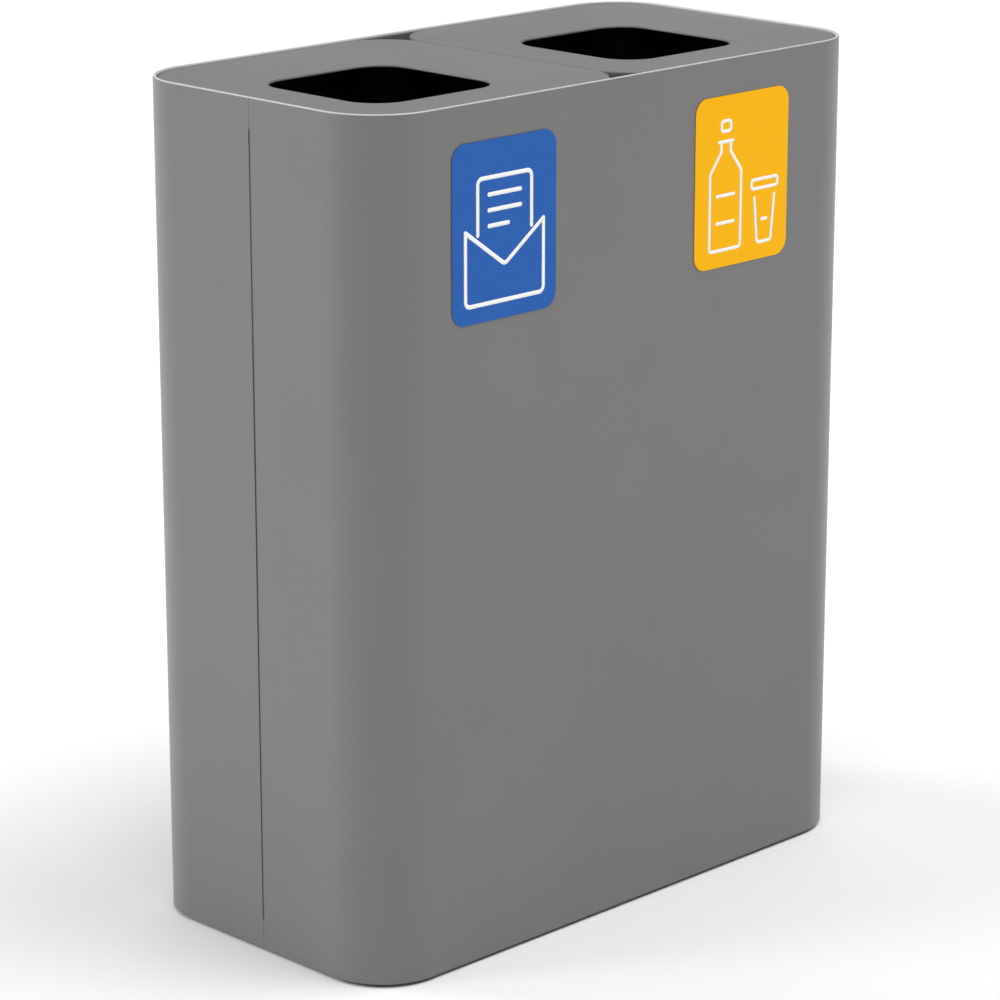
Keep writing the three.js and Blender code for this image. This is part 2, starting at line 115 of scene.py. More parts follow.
def surface(
    name,
    colours,
    tone_mm,
    gloss=None,
    gloss_mm=None,
    grain=None,
    crystals=False,
    painted_highlight=None,
    sockets=None,
):
    """A material whose tone and gloss wander between two values, in patches of a real width.

    Gloss is the lowest and the highest roughness. A grain is its width and its depth in
    millimetres, and its detail. With crystals, tone and gloss are even in each cell. The painted
    highlight, when given, is an attribute of the piece's points and the lighter colour painted
    where it is 1. Sockets hold what is the same all over the surface.
    """
    material = bpy.data.materials.new(name)
    material.use_nodes = True
    tree = material.node_tree
    tree.nodes.clear()
    shader = add_node(tree, "ShaderNodeBsdfPrincipled", inputs=sockets)
    add_node(tree, "ShaderNodeOutputMaterial", inputs={"Surface": shader.outputs["BSDF"]})
    place = add_node(tree, "ShaderNodeTexCoord").outputs["Object"]
    if crystals:
        cells = add_node(
            tree, "ShaderNodeTexVoronoi", inputs={"Vector": place, "Scale": 1 / (tone_mm * MM)}
        )
        shade = add_node(tree, "ShaderNodeSeparateColor", inputs={"Color": cells.outputs["Color"]})
        patterns = [shade.outputs["Red"], shade.outputs["Green"]]
    else:
        patterns = [
            add_node(
                tree,
                "ShaderNodeTexNoise",
                inputs={"Vector": place, "Scale": 1 / (width_mm * MM), "Detail": 2.0},
            ).outputs["Fac"]
            for width_mm in (tone_mm, gloss_mm)
            if width_mm
        ]
    ranges = [
        add_node(
            tree,
            "ShaderNodeMapRange",
            inputs={
                "Value": pattern,
                "From Min": NOISE_LOW,
                "From Max": NOISE_HIGH,
                "To Min": low,
                "To Max": high,
            },
        ).outputs["Result"]
        for pattern, (low, high) in zip(patterns, [(0.0, 1.0)] + ([gloss] if gloss else []))
    ]
    colour = add_node(
        tree,
        "ShaderNodeMix",
        {"data_type": "RGBA"},
        {MIX_FACTOR: ranges[0], MIX_A: linear(colours[0]), MIX_B: linear(colours[1])},
    ).outputs[MIX_RESULT]
    # Painted highlight: where the attribute is 1, the tone turns to a lighter colour that stands in
    # for light caught by an edge.
    if painted_highlight:
        attribute, painted_highlight_colour = painted_highlight
        highlight_share = add_node(tree, "ShaderNodeAttribute", {"attribute_name": attribute})
        colour = add_node(
            tree,
            "ShaderNodeMix",
            {"data_type": "RGBA"},
            {MIX_FACTOR: highlight_share.outputs["Fac"], MIX_A: colour, MIX_B: linear(painted_highlight_colour)},
        ).outputs[MIX_RESULT]
    tree.links.new(colour, shader.inputs["Base Color"])
    if gloss:
        tree.links.new(ranges[1], shader.inputs["Roughness"])
    if grain:
        width_mm, depth_mm, detail = grain
        height = add_node(
            tree,
            "ShaderNodeTexNoise",
            inputs={"Vector": place, "Scale": 1 / (width_mm * MM), "Detail": detail},
        )
        bump = add_node(
            tree,
            "ShaderNodeBump",
            inputs={"Height": height.outputs["Fac"], "Distance": depth_mm * MM, "Strength": 1.0},
        )
        tree.links.new(bump.outputs["Normal"], shader.inputs["Normal"])
    return material


# %% Powder coats
# Baked polyester on steel is a dielectric skin with an IOR of 1.5, so it isn't metallic. The grain
# is the orange peel.
COAT = {"tone_mm": 90, "gloss_mm": 60, "grain": (2.2, 0.012, 3.0), "sockets": {"IOR": 1.5}}
SATIN, MATT = (0.36, 0.40), (0.48, 0.52)  # roughness of the outer coats and of the inner ones
RIM_HIGHLIGHT = "rim_wear"  # the attribute that says where the shell's rim carries its painted highlight
satin_grey = surface("powder_coat_satin_grey", SATIN_GREY, gloss=SATIN, **COAT)
# This coat carries the painted highlight: its rim's fold is lighter, a thin bright line that stands
# in for the light the fold catches.
grey_with_painted_rim = surface(
    "powder_coat_satin_grey_rim", SATIN_GREY, gloss=SATIN, painted_highlight=(RIM_HIGHLIGHT, 0xCECECE), **COAT
)
graphite = surface("powder_coat_graphite_inside", (0x646566, 0x686969), gloss=MATT, **COAT)
primer = surface("primer_coat_pale_grey", (0xB4B4B4, 0xB8B8B8), gloss=MATT, **COAT)
print("coats:", satin_grey.name, grey_with_painted_rim.name, graphite.name, primer.name)

# %% [markdown]
# ## Finishes: metals, plastic and rubber
#
# The tray is galvanised sheet: zinc freezes on the steel in flat crystals about ten millimetres
# across, each with its own shine, which Voronoi cells draw well. The screws are zinc plated, an
# even thin metal. The liners are moulded polypropylene, black and a little glossy, with a fine
# spark-eroded grain, and the feet and pads are rubber, which hardly shines at all.

# %% Zinc, plastic and rubber
METAL = {"Metallic": 1.0}
# Hot-dip zinc: the crystals differ in shade and in shine.
zinc_sheet = surface(
    "galvanised_steel_sheet",
    (0x9A9EA1, 0xB9BDBF),
    tone_mm=10,
    gloss=(0.36, 0.5),
    crystals=True,
    sockets=METAL,
)
# Electroplated zinc on a turned screw: an even metal with faint scuffs.
zinc_screw = surface(
    "zinc_plated_steel",
    (0xB4B6B6, 0xC6C8C6),
    tone_mm=3,
    gloss=(0.25, 0.4),
    gloss_mm=1.5,
    sockets=METAL,
)
# Moulded polymers have a grain from the tool's surface and a tone that wanders a little. A real
# grain is finer, and is drawn as coarse as it needs to show.
MOULDED = {"tone_mm": 35, "gloss_mm": 20}
black_polypropylene = surface(
    "moulded_polypropylene_black",
    (0x1E1F20, 0x232425),
    gloss=(0.41, 0.49),
    grain=(0.8, 0.01, 2.0),
    **MOULDED,
)
foot_rubber = surface(
    "moulded_rubber_black",
    (0x171717, 0x1D1D1D),
    gloss=(0.71, 0.79),
    grain=(0.6, 0.02, 2.0),
    **MOULDED,
)
print("zinc, plastic and rubber:", zinc_sheet.name, black_polypropylene.name, foot_rubber.name)

# %% [markdown]
# ## Finishes: the labels
#
# Each label is printed vinyl film under a matt clear film. The ink lies even, so only a trace of
# mottle moves its tone, and the clear film, whose faint ripples are about 12 mm wide, gives it a
# soft gloss of its own. The signs are white ink under the same film.

# %% Label films
FILM = {
    "tone_mm": 6,
    "gloss_mm": 15,
    "grain": (12, 0.01, 2.0),
    "sockets": {"Specular IOR Level": 0.08},
}
blue_film = surface("printed_vinyl_blue", (0x2B60B0, 0x2D63B3), gloss=(0.37, 0.43), **FILM)
yellow_film = surface("printed_vinyl_yellow", (0xFFB902, 0xFFBC03), gloss=(0.37, 0.43), **FILM)
white_ink = surface("printed_ink_white", (0xFBFBFA, 0xFDFDFC), gloss=(0.42, 0.48), **FILM)
print("films:", blue_film.name, yellow_film.name, white_ink.name)

# %% [markdown]
# ## Outlines, rings and plain meshes
#
# Nearly every part of this bin is a rectangle with rounded corners that changes as it goes up. So
# one function gives the points of such a rectangle, and another skins a stack of them. Blender
# could loft curves too, but a stack of rings keeps each radius and each fold exactly where the
# drawing has it.

# %% Rings and lofts
CORNER_STEPS = 24  # straight stretches in each rounded corner
SMALLEST_RADIUS = 0.3 * MM  # what is left of a corner that an offset would shrink to nothing
WELD = 1e-7  # points closer than this, in metres, become one


def ring(half_x, half_y, radii, z, offset=0.0, centre_x=0.0, steps=CORNER_STEPS):
    """Points of a rounded rectangle at a height, counter-clockwise. Radii start at +X +Y."""
    points = []
    for corner, (side_x, side_y) in enumerate(((1, 1), (-1, 1), (-1, -1), (1, -1))):
        radius = max(radii[corner] + offset, SMALLEST_RADIUS)
        for step in range(steps + 1):
            angle = (corner + step / steps) * math.pi / 2
            x = side_x * (half_x + offset - radius) + radius * math.cos(angle)
            y = side_y * (half_y + offset - radius) + radius * math.sin(angle)
            points.append((centre_x + x, y, z))
    return points


def between(first, second, share):
    """A ring part of the way from one ring to another."""
    return [
        tuple(a + (b - a) * share for a, b in zip(start, end)) for start, end in zip(first, second)
    ]


def circle(radius, steps, x=0.0, y=0.0):
    """Evenly spaced points round a centre in plan: a circle, or a polygon of few sides."""
    angles = np.linspace(0, 2 * math.pi, steps, endpoint=False)
    return [(x + radius * math.cos(a), y + radius * math.sin(a)) for a in angles]


def new_object(name, data):
    """An object at the origin that holds a mesh, a curve, a lamp or a camera."""
    part = bpy.data.objects.new(name, data)
    bpy.context.scene.collection.objects.link(part)
    return part


def loft(name, rings, closed):
    """Skins rings of equally many points. A closed loft joins its last ring to its first."""
    count = len(rings[0])
    faces = []
    for band in range(len(rings) if closed else len(rings) - 1):
        lower, upper = band * count, (band + 1) % len(rings) * count
        for i in range(count):
            j = (i + 1) % count
            faces.append((lower + i, lower + j, upper + j, upper + i))
    if not closed:
        faces.append(tuple(reversed(range(count))))
        faces.append(tuple(range((len(rings) - 1) * count, len(rings) * count)))
    mesh = bpy.data.meshes.new(name)
    mesh.from_pydata([point for one in rings for point in one], [], faces)
    part = new_object(name, mesh)
    point_outwards(part)
    return part


def point_outwards(part):
    """Turns every face of a closed mesh to look outwards."""
    work = bmesh.new()
    work.from_mesh(part.data)
    bmesh.ops.remove_doubles(work, verts=work.verts, dist=WELD)
    bmesh.ops.recalc_face_normals(work, faces=work.faces)
    work.to_mesh(part.data)
    work.free()


# %% Finishing a mesh: cuts, eased edges and shading
def modify(part, kind, **settings):
    """Adds a modifier with its settings."""
    modifier = part.modifiers.new(kind.lower(), kind)
    for name, value in settings.items():
        setattr(modifier, name, value)


def to_plain_mesh(part):
    """Replaces a part's mesh by what its modifiers make of it, and takes the modifiers away."""
    bpy.context.view_layer.update()
    seen = part.evaluated_get(bpy.context.evaluated_depsgraph_get())
    mesh = bpy.data.meshes.new_from_object(seen)
    part.modifiers.clear()
    if part.type == "MESH":
        part.data = mesh
        mesh.name = part.name
        return part
    result = new_object(part.name + "_mesh", mesh)
    name = part.name
    bpy.data.objects.remove(part)
    result.name = mesh.name = name
    return result


def cut(part, tool):
    """Cuts a closed tool out of a part, and throws the tool away."""
    modify(part, "BOOLEAN", operation="DIFFERENCE", solver="EXACT", object=tool)
    to_plain_mesh(part)
    bpy.data.objects.remove(tool)


def ease(part, width_mm, angle=50):
    """Rounds the sharp edges, shades the rest smooth, and keeps large faces flat."""
    modify(
        part,
        "BEVEL",
        width=width_mm * MM,
        segments=2,
        limit_method="ANGLE",
        angle_limit=math.radians(angle),
        use_clamp_overlap=True,
    )
    to_plain_mesh(part)
    shade(part)


def shade(part, sharp=40):
    """Smooth shading, except where two faces meet at more than an angle."""
    part.data.shade_smooth()
    part.data.set_sharp_from_angle(angle=math.radians(sharp))
    modify(part, "WEIGHTED_NORMAL", keep_sharp=True)
    to_plain_mesh(part)


def give_finish(part, material):
    """Makes a material the only one of a part."""
    part.data.materials.clear()
    part.data.materials.append(material)


def hand_over(part, material, body, slot, *nodes):
    """Gives a finished part its material and its body, and says which nodes it stands for."""
    give_finish(part, material)
    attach(part, body)
    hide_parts(*nodes)
    print(f"{part.name}: {len(part.data.polygons)} faces on {body}, for {', '.join(nodes)}")


print("corner steps:", CORNER_STEPS)

# %% [markdown]
# ## Geometry Nodes: a section that follows a path
#
# Each half of the shell is one strip of sheet, bent twice, with its top edge folded in on itself.
# Its cross section is the same all the way round, so it is drawn once and sent along the strip's
# path in plan. The tree rounds the path's corners, turns the section upright and skins it. It
# takes the corner radius, the section and the coating as inputs, and it would bend a deeper or a
# wider shell as readily.

# %% The tree that bends a sheet along its path
def socket_of(tree, name):
    """The identifier of a group input, by which a modifier's value is set."""
    return next(
        item.identifier
        for item in tree.interface.items_tree
        if item.item_type == "SOCKET" and item.in_out == "INPUT" and item.name == name
    )


def new_tree(name, inputs):
    """A Geometry Nodes tree with named inputs, with its input node and its output node."""
    tree = bpy.data.node_groups.new(name, "GeometryNodeTree")
    tree.interface.new_socket("Geometry", in_out="INPUT", socket_type="NodeSocketGeometry")
    for label, kind in inputs.items():
        tree.interface.new_socket(label, in_out="INPUT", socket_type="NodeSocket" + kind)
    tree.interface.new_socket("Geometry", in_out="OUTPUT", socket_type="NodeSocketGeometry")
    return tree, tree.nodes.new("NodeGroupInput"), tree.nodes.new("NodeGroupOutput")


def run_tree(part, tree, values):
    """Sets a tree's inputs on a part, and turns the result to a plain mesh."""
    modifier = part.modifiers.new(tree.name, "NODES")
    modifier.node_group = tree
    for label, value in values.items():
        modifier[socket_of(tree, label)] = value
    return to_plain_mesh(part)


def bent_sheet_tree():
    tree, given, made = new_tree(
        "bent_sheet",
        {
            "Corner Radius": "Float",
            "Corner Steps": "Int",
            "Section": "Object",
            "Coating": "Material",
        },
    )
    bends = add_node(
        tree,
        "GeometryNodeFilletCurve",
        {"mode": "POLY"},
        {
            "Curve": given.outputs["Geometry"],
            "Count": given.outputs["Corner Steps"],
            "Radius": given.outputs["Corner Radius"],
        },
    )
    upright = add_node(
        tree, "GeometryNodeSetCurveNormal", {"mode": "Z_UP"}, {"Curve": bends.outputs["Curve"]}
    )
    section = add_node(tree, "GeometryNodeObjectInfo", inputs={"Object": given.outputs["Section"]})
    sheet = add_node(
        tree,
        "GeometryNodeCurveToMesh",
        inputs={
            "Curve": upright.outputs["Curve"],
            "Profile Curve": section.outputs["Geometry"],
            "Fill Caps": True,
        },
    )
    single = add_node(
        tree, "GeometryNodeRealizeInstances", inputs={"Geometry": sheet.outputs["Mesh"]}
    )
    coated = add_node(
        tree,
        "GeometryNodeSetMaterial",
        inputs={"Geometry": single.outputs["Geometry"], "Material": given.outputs["Coating"]},
    )
    tree.links.new(coated.outputs["Geometry"], made.inputs["Geometry"])
    return tree


def drawn_curve(name, strokes, cyclic=False, lift=0.0):
    """A curve object of flat strokes, lists of points, each lifted above the one before."""
    curve = bpy.data.curves.new(name, "CURVE")
    curve.dimensions = "3D"
    for level, stroke in enumerate(strokes):
        spline = curve.splines.new("POLY")
        spline.points.add(len(stroke) - 1)
        for point, (x, y) in zip(spline.points, stroke):
            point.co = (x, y, level * lift, 1.0)
        spline.use_cyclic_u = cyclic
    return new_object(name, curve)


bent_sheet = bent_sheet_tree()
print("tree:", bent_sheet.name, "with", len(bent_sheet.nodes), "nodes")

# %% [markdown]
# ## The shell
#
# The cross section runs up the wall's outside, over the fold, down the folded leg and back up
# inside it. The fold is rounded, and its top and its inner side carry a painted highlight, a
# lighter tone which makes a thin bright line round the whole bin. The two halves meet in the
# middle of each side. There the joint is closed for a short way at each end, and open between as
# a narrow slot, because each half's edge steps back by about a millimetre.

# %% Section of the hemmed wall
SHEET = 1.2 * MM
HEM = 3.2 * MM  # two sheets and the air between them
HEM_LEG = 11 * MM
HEM_STEPS = 14
SUPPORT = 1.5 * MM  # extra points beside a curve keep the flat beyond it truly flat
SLOT_END = 26 * MM  # the joint stays closed this far from the wall's lower and upper edge


def arc(centre, radius, start, end, steps):
    """Points of an arc, with its angles in degrees."""
    angles = [math.radians(start + (end - start) * step / steps) for step in range(steps + 1)]
    return [
        (centre[0] + radius * math.cos(a), centre[1] + radius * math.sin(a)) for a in angles
    ]


fold_z = shell_top - HEM / 2  # centre of the fold's rounding
slot_low, slot_high = shell_bottom + SLOT_END, shell_top - SLOT_END
SLOT_EASE = 0.8 * MM  # height over which the slot opens

wall_section = (
    [(0.0, shell_bottom), (0.0, shell_bottom + SUPPORT)]
    + [(0.0, slot_low), (0.0, slot_low + SLOT_EASE), (0.0, slot_high - SLOT_EASE), (0.0, slot_high)]
    + [(0.0, fold_z - SUPPORT)]
    + arc((-HEM / 2, fold_z), HEM / 2, 0, 180, HEM_STEPS)
    + [(-HEM, fold_z - SUPPORT), (-HEM, shell_top - HEM_LEG)]
    + [(-HEM + SHEET, shell_top - HEM_LEG), (-HEM + SHEET, fold_z - SUPPORT)]
    + arc((-HEM / 2, fold_z), HEM / 2 - SHEET, 180, 0, HEM_STEPS // 2)
    + [(-SHEET, fold_z - SUPPORT)]
    + [(-SHEET, slot_high), (-SHEET, slot_high - SLOT_EASE), (-SHEET, slot_low + SLOT_EASE)]
    + [(-SHEET, slot_low), (-SHEET, shell_bottom + SUPPORT), (-SHEET, shell_bottom)]
)
# On a path that is turned upright, a section's X points outwards and its Y points down.
section = drawn_curve("section", [[(out, -z) for out, z in wall_section]], cyclic=True)
print("section points:", len(wall_section), "slot from", slot_low / MM, "to", slot_high / MM)

# %% The two halves, and the slot between them
SHELL_RADIUS = 59 * MM
SEAM_Y = -5 * MM
SEAM_JOINT = 0.3 * MM
SEAM_SLOT = 2.2 * MM
RIM_HIGHLIGHT_START = 0.1 * MM  # how far in from the wall's outside the rim begins to be lighter
RIM_HIGHLIGHT_FADE = 0.4 * MM  # the width over which it becomes so
NEAR = 0.01 * MM  # points closer than this are in one place


def mark_rim_painted_highlight(strip):
    """Stores 1 on the points of the fold's top and inner side, down to the lids, else 0: where the
    rim's painted highlight goes.
    """
    points = np.zeros(len(strip.data.vertices) * 3)
    strip.data.vertices.foreach_get("co", points)
    x, y, z = points.reshape(-1, 3).T
    past_x = np.abs(x) - (shell_half_x - SHELL_RADIUS)
    past_y = np.abs(y) - (shell_half_y - SHELL_RADIUS)
    depth = SHELL_RADIUS - np.hypot(np.maximum(past_x, 0), np.maximum(past_y, 0))
    depth -= np.minimum(np.maximum(past_x, past_y), 0)
    inwards = np.clip((depth - RIM_HIGHLIGHT_START) / RIM_HIGHLIGHT_FADE, 0, 1)
    upwards = np.clip((z - (fold_z - SUPPORT)) / SUPPORT, 0, 1)
    highlight_share = strip.data.attributes.new(RIM_HIGHLIGHT, "FLOAT", "POINT")
    highlight_share.data.foreach_set("value", inwards * upwards)


def shell_half(name, node, side):
    """One bent strip. Side is -1 for the front half and 1 for the rear one."""
    end_y = SEAM_Y + side * SEAM_JOINT / 2
    bend_y = side * (shell_half_y - SHELL_RADIUS - SUPPORT)
    face_y = side * shell_half_y
    bend_x = shell_half_x - SHELL_RADIUS - SUPPORT
    corner_x = shell_half_x
    half_path = [(-corner_x, end_y), (-corner_x, bend_y), (-corner_x, face_y), (-bend_x, face_y)]
    path = half_path + [(-x, y) for x, y in reversed(half_path)]
    if side > 0:
        path.reverse()
    strip = run_tree(
        drawn_curve(name, [path]),
        bent_sheet,
        {
            "Corner Radius": SHELL_RADIUS,
            "Corner Steps": CORNER_STEPS,
            "Section": section,
            "Coating": grey_with_painted_rim,
        },
    )
    step_back = side * (SEAM_SLOT - SEAM_JOINT) / 2
    for point in strip.data.vertices:
        at_end = abs(point.co.y - end_y) < NEAR
        if at_end and slot_low + SLOT_EASE / 2 < point.co.z < slot_high - SLOT_EASE / 2:
            point.co.y += step_back
    point_outwards(strip)
    ease(strip, width_mm=0.2)
    # Marks where the painted highlight goes on the rim.
    mark_rim_painted_highlight(strip)
    hand_over(strip, grey_with_painted_rim, "body", "powder_coat", node)


shell_half("shell_front_half", "front_shell", -1)
shell_half("shell_rear_half", "rear_shell", 1)
bpy.data.objects.remove(section)

# %% [markdown]
# ## The lids
#
# A lid is one pressed sheet. From its rounded edge four slopes fall to the square opening, whose
# rim turns down, and a skirt goes down all round the outside. A ring at the edge and a ring at
# the opening have equally many points, so the skin between them makes the slopes flat and the
# corners softly conical.

# %% Pressed lids
LID_EDGE = 1.4 * MM
LID_SKIRT = 14 * MM
LID_OUTER_RADIUS = 55.2 * MM
LID_INNER_RADIUS = 45 * MM
DISH_DEPTH = 6 * MM
HOLE_HALF = 75 * MM
HOLE_RADIUS = 33 * MM
HOLE_X = 150.2 * MM
HOLE_LIP = 0.6 * MM
FOLD_STEPS = 6
SLOPE_SHARES = (0.02, 0.35, 0.65, 0.98)  # where rings divide the slopes' upper side
UNDERSIDE_SHARES = (0.02, 0.98)


def pressed_lid(name, node, body, side):
    """Side is -1 for the left lid and 1 for the right one."""
    low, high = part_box(node)
    half_x, half_y, top = (high.x - low.x) / 2, high.y, high.z
    outer, inner = LID_OUTER_RADIUS, LID_INNER_RADIUS
    radii = [outer, inner, inner, outer] if side > 0 else [inner, outer, outer, inner]
    centre = (low.x + high.x) / 2

    def edge(offset, z):
        return ring(half_x, half_y, radii, z, offset, centre)

    def rim(offset, z):
        return ring(HOLE_HALF, HOLE_HALF, [HOLE_RADIUS] * 4, z, offset, side * HOLE_X)

    dish = top - DISH_DEPTH
    bend_in = LID_EDGE - SHEET
    above = [edge(x, z) for x, z in arc((-LID_EDGE, top - LID_EDGE), LID_EDGE, 0, 90, FOLD_STEPS)]
    into_hole = [
        rim(x, z) for x, z in arc((LID_EDGE, dish - LID_EDGE), LID_EDGE, 90, 180, FOLD_STEPS)
    ]
    rim_low = dish - LID_EDGE - HOLE_LIP
    under_rim = [
        rim(x, z) for x, z in arc((LID_EDGE, dish - LID_EDGE), bend_in, 180, 90, FOLD_STEPS // 2)
    ]
    below = [
        edge(x, z) for x, z in arc((-LID_EDGE, top - LID_EDGE), bend_in, 90, 0, FOLD_STEPS // 2)
    ]
    rings = [edge(0, top - LID_SKIRT), edge(0, top - LID_EDGE - SUPPORT)] + above
    rings += [between(above[-1], into_hole[0], share) for share in SLOPE_SHARES]
    rings += into_hole + [rim(0, rim_low), rim(SHEET, rim_low)] + under_rim
    rings += [between(under_rim[-1], below[0], share) for share in UNDERSIDE_SHARES]
    rings += below + [edge(-SHEET, top - LID_EDGE - SUPPORT), edge(-SHEET, top - LID_SKIRT)]
    lid = loft(name, rings, closed=True)
    ease(lid, width_mm=0.2, angle=60)
    hand_over(lid, satin_grey, body, "powder_coat", node)


pressed_lid("lid_left_pressed", "lid_left", "lid_left", -1)
pressed_lid("lid_right_pressed", "lid_right", "lid_right", 1)

# %% [markdown]
# ## The liners
#
# Each liner is a moulded bucket with walls that lean in a little, so it can leave its tool, a rim
# that turns down outside, rounded hand holes, and a raised floor. Its edges are all rounded,
# because sharp ones don't fill in a mould. Through the openings of the lids only a soft gleam in
# its corners shows.

# %% Moulded liners
LINER_WALL = 2.5 * MM
RIM_REACH = 5 * MM
RIM_LIP = 2 * MM
RIM_DROP = 12 * MM
RIM_ROUND = 0.8 * MM
LINER_RADIUS = 46 * MM
LINER_DRAFT = 9 * MM
LINER_EDGE = 3 * MM
LINER_STAND = 12 * MM
LINER_RAISE = 6 * MM
LINER_FLOOR = 3 * MM
LINER_FILLET = 8 * MM
HAND_WIDTH = 100 * MM
HAND_HEIGHT = 30 * MM
HAND_DROP = 80 * MM
STAND_STEPS, RIM_STEPS, FILLET_STEPS = 5, 4, 8  # straight stretches in each round


def moulded_liner(name, node, body):
    low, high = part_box(node)
    centre = (low.x + high.x) / 2
    half_x = (high.x - low.x) / 2 - RIM_REACH
    half_y = high.y - RIM_REACH
    bottom, top = low.z, high.z
    under_rim = top - RIM_LIP

    def wall(offset, z, leaning=True):
        """A ring on the leaning wall, moved out by an offset."""
        lean = -LINER_DRAFT * (under_rim - z) / (under_rim - bottom) if leaning else 0.0
        return ring(half_x, half_y, [LINER_RADIUS] * 4, z, offset + lean, centre)

    floor_under = bottom + LINER_RAISE
    floor_top = floor_under + LINER_FLOOR
    stand = arc((-LINER_EDGE, bottom + LINER_EDGE), LINER_EDGE, -90, 0, STAND_STEPS)
    lip = arc((RIM_REACH - RIM_ROUND, top - RIM_ROUND), RIM_ROUND, 0, 90, RIM_STEPS)
    mouth = arc((-LINER_WALL + RIM_ROUND, top - RIM_ROUND), RIM_ROUND, 90, 180, RIM_STEPS)
    fillet_centre = (-LINER_WALL - LINER_FILLET, floor_top + LINER_FILLET)
    fillet = arc(fillet_centre, LINER_FILLET, 0, -90, FILLET_STEPS)
    rings = [wall(-LINER_STAND - SUPPORT, floor_under), wall(-LINER_STAND, floor_under)]
    rings += [wall(-LINER_STAND, bottom)]
    rings += [wall(x, z) for x, z in stand]
    rings += [wall(0, bottom + LINER_EDGE + SUPPORT), wall(0, under_rim - SUPPORT)]
    rings += [wall(0, under_rim), wall(RIM_REACH - RIM_LIP, under_rim, leaning=False)]
    rings += [wall(RIM_REACH - RIM_LIP, top - RIM_DROP, leaning=False)]
    rings += [wall(RIM_REACH, top - RIM_DROP, leaning=False)]
    rings += [wall(x, z, leaning=False) for x, z in lip + mouth]
    rings += [wall(-LINER_WALL, top - RIM_ROUND - SUPPORT)]
    rings += [wall(-LINER_WALL, floor_top + LINER_FILLET + SUPPORT)]
    rings += [wall(x, z) for x, z in fillet]
    rings += [wall(-LINER_WALL - LINER_FILLET - SUPPORT, floor_top)]
    liner = loft(name, rings, closed=False)
    radius = HAND_HEIGHT / 2 - NEAR
    outline = ring(HAND_WIDTH / 2, HAND_HEIGHT / 2, [radius] * 4, 0.0)
    hand_z = top - HAND_DROP
    ends = [
        [(centre + x, y, hand_z + z) for x, z, _ in outline] for y in (-shell_half_y, shell_half_y)
    ]
    cut(liner, loft("hand_holes", ends, closed=False))
    ease(liner, width_mm=0.4, angle=55)
    hand_over(liner, black_polypropylene, body, "liner_plastic", node)


moulded_liner("liner_left_moulded", "liner_left", "liner_left")
moulded_liner("liner_right_moulded", "liner_right", "liner_right")

# %% [markdown]
# ## Floor tray
#
# The tray is a folded sheet, like a shallow baking tin. Its edge turns up with a small bend and
# is welded inside the shell, and four holes take the screws of the feet.

# %% Folded floor tray
TRAY_SHEET = 1.5 * MM
TRAY_BEND = 4 * MM
TRAY_BEND_STEPS = 8
SEAT = 0.3 * MM  # room between pieces that fit into each other
SCREW_RADIUS = 2.2 * MM
HOLE_STEPS = 32
FOOT_NAMES = ("front_left", "front_right", "rear_left", "rear_right")
foot_places = []
for foot in FOOT_NAMES:
    low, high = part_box("foot_" + foot)
    foot_places.append(((low.x + high.x) / 2, (low.y + high.y) / 2, 0.0))


def folded_tray():
    low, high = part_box("floor_tray")
    radius = SHELL_RADIUS - SHEET - SEAT

    def edge(offset, z):
        return ring(high.x, high.y, [radius] * 4, z, offset)

    outer = TRAY_BEND + TRAY_SHEET
    centre = (-outer, low.z + outer)
    outside = [edge(x, z) for x, z in arc(centre, outer, -90, 0, TRAY_BEND_STEPS)]
    inside = [edge(x, z) for x, z in arc(centre, TRAY_BEND, 0, -90, TRAY_BEND_STEPS)]
    rings = [edge(-outer - SUPPORT, low.z)] + outside
    rings += [edge(0, low.z + outer + SUPPORT), edge(0, high.z), edge(-TRAY_SHEET, high.z)]
    rings += [edge(-TRAY_SHEET, low.z + outer + SUPPORT)] + inside
    rings += [edge(-outer - SUPPORT, low.z + TRAY_SHEET)]
    tray = loft("tray_folded", rings, closed=False)
    for x, y, _ in foot_places:
        hole = circle(SCREW_RADIUS + SEAT, HOLE_STEPS, x, y)
        ends = [[(u, v, z) for u, v in hole] for z in (low.z - SHEET, low.z + 2 * TRAY_SHEET)]
        cut(tray, loft("screw_hole", ends, closed=False))
    ease(tray, width_mm=0.2, angle=60)
    hand_over(tray, zinc_sheet, "body", "zinc_sheet", "floor_tray")


folded_tray()

# %% [markdown]
# ## Geometry Nodes: copies at marked places
#
# Feet, screws and pads repeat. Each is modelled once, and a second tree sets copies of it on the
# points of a small mesh that marks their places. A turn stored on each point lets a pad lie along
# either edge. The tree ends by making the copies real, because an exported model has no
# instances.

# %% The tree that sets copies
def placed_copies_tree():
    tree, given, made = new_tree("placed_copies", {"Part": "Object", "Finish": "Material"})
    points = add_node(
        tree, "GeometryNodeMeshToPoints", inputs={"Mesh": given.outputs["Geometry"]}
    )
    part = add_node(tree, "GeometryNodeObjectInfo", inputs={"Object": given.outputs["Part"]})
    turn = add_node(
        tree, "GeometryNodeInputNamedAttribute", {"data_type": "FLOAT"}, {"Name": "turn"}
    )
    about_z = add_node(tree, "ShaderNodeCombineXYZ", inputs={"Z": turn.outputs["Attribute"]})
    rotation = add_node(
        tree, "FunctionNodeEulerToRotation", inputs={"Euler": about_z.outputs["Vector"]}
    )
    copies = add_node(
        tree,
        "GeometryNodeInstanceOnPoints",
        inputs={
            "Points": points.outputs["Points"],
            "Instance": part.outputs["Geometry"],
            "Rotation": rotation.outputs["Rotation"],
        },
    )
    real = add_node(
        tree, "GeometryNodeRealizeInstances", inputs={"Geometry": copies.outputs["Instances"]}
    )
    finished = add_node(
        tree,
        "GeometryNodeSetMaterial",
        inputs={"Geometry": real.outputs["Geometry"], "Material": given.outputs["Finish"]},
    )
    tree.links.new(finished.outputs["Geometry"], made.inputs["Geometry"])
    return tree


